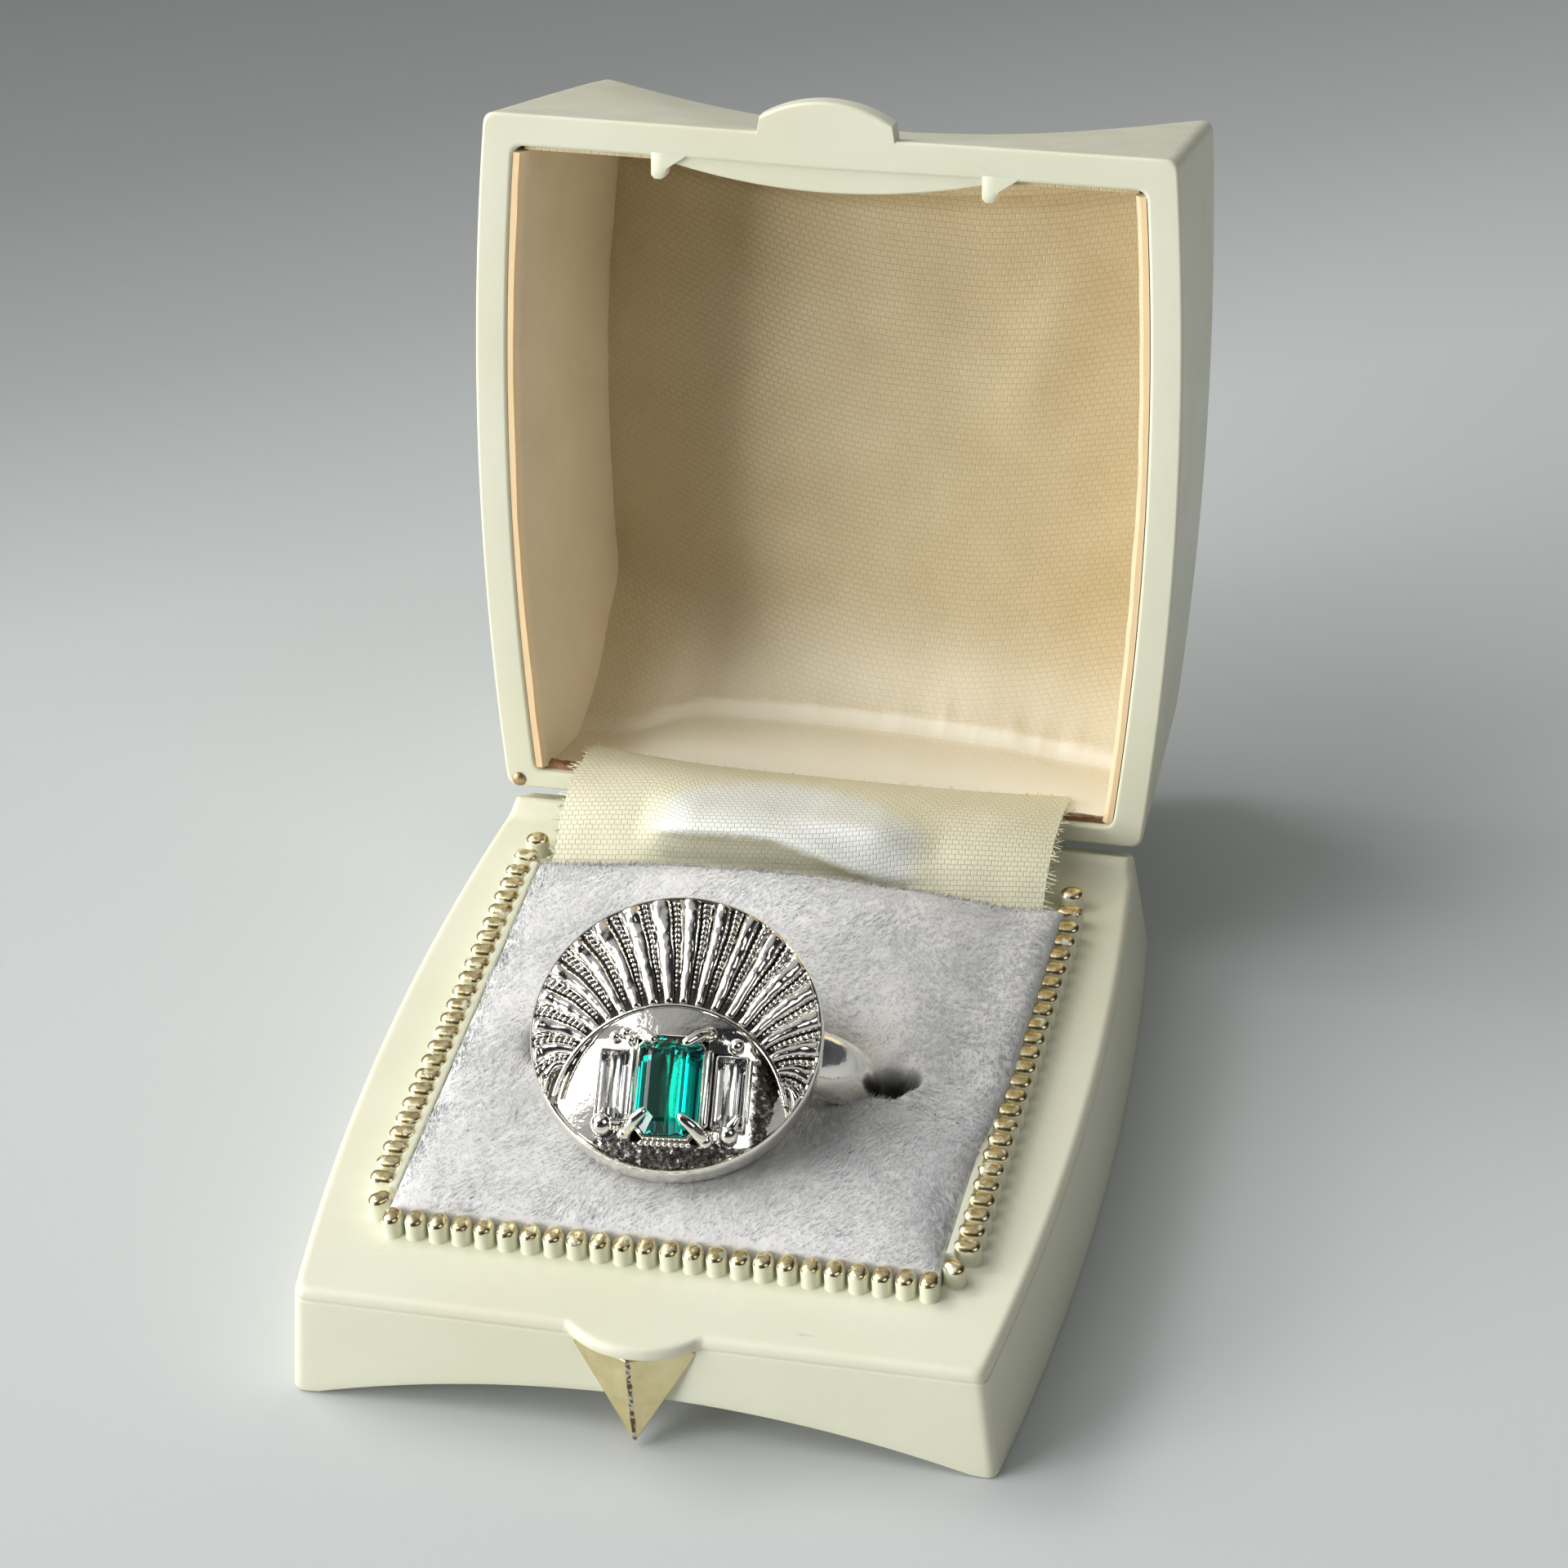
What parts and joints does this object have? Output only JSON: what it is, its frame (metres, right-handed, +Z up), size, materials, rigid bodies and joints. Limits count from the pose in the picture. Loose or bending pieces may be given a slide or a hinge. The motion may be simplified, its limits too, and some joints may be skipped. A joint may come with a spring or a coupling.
{
  "type": "emerald ring in a ring box",
  "caption": "Silver cocktail ring with a rayed round head, an emerald and side stones, in the pad of a cream plastic ring box whose dished lid stands open on its hinge.",
  "frame": {"origin": "middle of the box's flat underside", "axes": "+Z up, the front with the latch faces -Y, the hinge runs along X at the back"},
  "size_m": [0.0492, 0.0875, 0.0578],
  "materials": {
    "cream_plastic": "smooth moulded cream plastic with a low sheen and fine scuffs",
    "gold_metal": "pale gold plate, worn dark along the fold",
    "pin_metal": "dull brass wire",
    "plush": "short white plush",
    "silver": "polished silver with dark antiqued grooves",
    "emerald": "step cut deep green stone",
    "clear_stone": "step cut clear stone",
    "satin": "champagne satin with a fine diagonal weave",
    "flap_satin": "cream satin ribbon with a fine weave and cut edges"
  },
  "bodies": {
    "root": {"box_base": "cream_plastic", "latch_ornament": "gold_metal", "hinge_pin": "pin_metal", "pad": "plush", "ring": "silver", "emerald": "emerald", "baguette_left": "clear_stone", "baguette_right": "clear_stone", "hinge_ribbon": "flap_satin"},
    "lid": {"lid_shell": "cream_plastic", "lid_lining": "satin", "lining_panel_left": "satin", "lining_panel_right": "satin", "lid_ornament": "gold_metal"}
  },
  "joints": [
    {"name": "lid_hinge", "type": "hinge", "parent": "root", "child": "lid", "pos_m": [0, 0.02555, 0.00805], "axis": [1, 0, 0], "range_deg": [0, 106.4], "deforming": ["hinge_ribbon"]}
  ]
}
